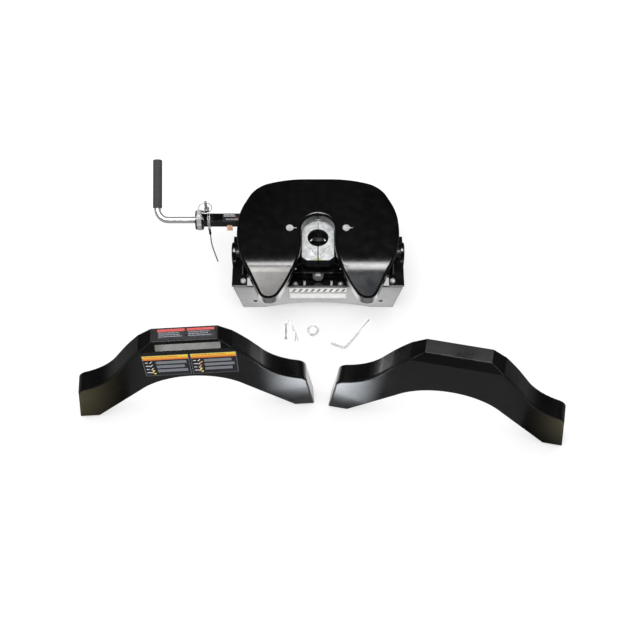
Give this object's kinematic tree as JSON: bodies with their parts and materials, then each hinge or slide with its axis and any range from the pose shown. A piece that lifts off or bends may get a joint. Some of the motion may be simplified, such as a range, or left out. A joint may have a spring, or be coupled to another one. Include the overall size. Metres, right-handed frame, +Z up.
{
  "type": "fifth wheel hitch",
  "caption": "Fifth wheel trailer hitch head on a bed crossmember with twin sliding-lock jaws, a bent pull handle, two arched legs standing in front and loose pins.",
  "frame": {"origin": "on the floor under the crossing of the head's pitch and roll axes, at the middle of the crossmember", "axes": "+Z up along the king pin; +X to the right seen from the throat, along the crossmember; +Y away from the throat's mouth"},
  "size_m": [1.2525, 0.7718, 0.3485],
  "materials": {
    "black_paint": "gloss",
    "zinc_steel": "satin",
    "bright_rod": "polished",
    "bushing_polymer": "matte",
    "foam_grip": "matte",
    "black_cord": "matte",
    "pale_plate": "satin",
    "printed_sheet": "satin",
    "silver_sheet": "satin",
    "orange_plastic": "satin"
  },
  "bodies": {
    "crossmember": {"crossmember_rear": "black_paint", "crossmember_front": "black_paint", "crossmember_ends": "black_paint", "tie_plate": "black_paint", "tie_bolts": "zinc_steel", "tie_tabs": "zinc_steel", "badge_plate": "pale_plate", "badge_strip": "pale_plate", "pivot_brackets": "black_paint", "pivot_bushings": "bushing_polymer", "bracket_bolts": "zinc_steel", "bracket_nuts": "zinc_steel"},
    "yoke": {"yoke": "black_paint", "trunnion_pins": "zinc_steel", "trunnion_spacers": "zinc_steel", "roll_pin": "zinc_steel", "roll_washer": "zinc_steel", "roll_nut": "zinc_steel"},
    "head": {"skid_plate": "black_paint", "lube_fittings": "zinc_steel", "housing_top": "black_paint", "housing_bottom": "black_paint", "housing_sides": "black_paint", "plate_ribs": "black_paint", "jaw_pins": "zinc_steel", "roll_saddle": "black_paint", "roll_bushings": "bushing_polymer", "channel_cover": "black_paint", "guide_tube": "black_paint", "rod_guides": "black_paint", "tube_mount": "black_paint", "tube_label": "printed_sheet", "status_flag": "orange_plastic", "pull_pin_lug": "black_paint", "safety_chain": "zinc_steel", "lanyard_crimp": "black_paint", "lanyard_cord": "black_cord"},
    "jaw_left": {"jaw_left": "zinc_steel", "jaw_follower_left": "zinc_steel"},
    "jaw_right": {"jaw_right": "zinc_steel", "jaw_follower_right": "zinc_steel"},
    "lock": {"lock_plate": "zinc_steel"},
    "handle": {"handle_rod": "bright_rod", "grip_sleeve": "foam_grip", "hub_discs": "black_paint", "hub_catch": "zinc_steel", "hub_knob": "zinc_steel", "rod_clip": "zinc_steel"},
    "pull_pin": {"pull_pin": "zinc_steel", "pull_ring": "zinc_steel"},
    "leg_left": {"leg_left": "black_paint", "leg_panels": "printed_sheet", "leg_facet_bars": "silver_sheet", "leg_top_panels": "printed_sheet"},
    "leg_right": {"leg_right": "black_paint"},
    "clevis_pin": {"clevis_pin": "zinc_steel"},
    "hairpin_clip": {"hairpin_clip": "zinc_steel"},
    "flat_washer": {"flat_washer": "zinc_steel"},
    "hex_key": {"hex_key": "zinc_steel"}
  },
  "joints": [
    {"name": "head_pitch", "type": "hinge", "parent": "crossmember", "child": "yoke", "pos_m": [0, 0, 0.106], "axis": [1, 0, 0], "range_deg": [-10, 10]},
    {"name": "head_roll", "type": "hinge", "parent": "yoke", "child": "head", "pos_m": [0, 0, 0.072], "axis": [0, 1, 0], "range_deg": [-3.5, 3.5], "stiffness_Nm_per_rad": 3000},
    {"name": "lock_slide", "type": "slide", "parent": "head", "child": "lock", "axis": [-1, 0, 0], "range_m": [0, 0.045], "stiffness_N_per_m": 1500, "springref_m": -0.02},
    {"name": "jaw_left_swing", "type": "hinge", "parent": "head", "child": "jaw_left", "pos_m": [-0.034, 0.084, 0.125], "axis": [0, 0, 1], "range_deg": [-18.01, 0]},
    {"name": "jaw_right_swing", "type": "hinge", "parent": "head", "child": "jaw_right", "pos_m": [0.034, 0.084, 0.125], "axis": [0, 0, 1], "range_deg": [0, 18.01]},
    {"name": "handle_turn", "type": "hinge", "parent": "lock", "child": "handle", "pos_m": [-0.3, 0.092, 0.13], "axis": [1, 0, 0], "range_deg": [0, 90]},
    {"name": "pull_pin_lift", "type": "slide", "parent": "head", "child": "pull_pin", "axis": [0, 0, 1], "range_m": [0, 0.04]},
    {"name": "leg_left_lift", "type": "slide", "parent": "crossmember", "child": "leg_left", "axis": [0, 0, 1], "range_m": [0, 0.3]},
    {"name": "leg_right_lift", "type": "slide", "parent": "crossmember", "child": "leg_right", "axis": [0, 0, 1], "range_m": [0, 0.3]},
    {"name": "clevis_pin_lift", "type": "slide", "parent": "crossmember", "child": "clevis_pin", "axis": [0, 0, 1], "range_m": [0, 0.1]},
    {"name": "hairpin_clip_lift", "type": "slide", "parent": "crossmember", "child": "hairpin_clip", "axis": [0, 0, 1], "range_m": [0, 0.1]},
    {"name": "flat_washer_lift", "type": "slide", "parent": "crossmember", "child": "flat_washer", "axis": [0, 0, 1], "range_m": [0, 0.1]},
    {"name": "hex_key_lift", "type": "slide", "parent": "crossmember", "child": "hex_key", "axis": [0, 0, 1], "range_m": [0, 0.06]}
  ],
  "couplings": [
    {"joint": "jaw_left_swing", "follows": "lock_slide", "rad_per_m": -6.9813},
    {"joint": "jaw_right_swing", "follows": "lock_slide", "rad_per_m": 6.9813}
  ]
}
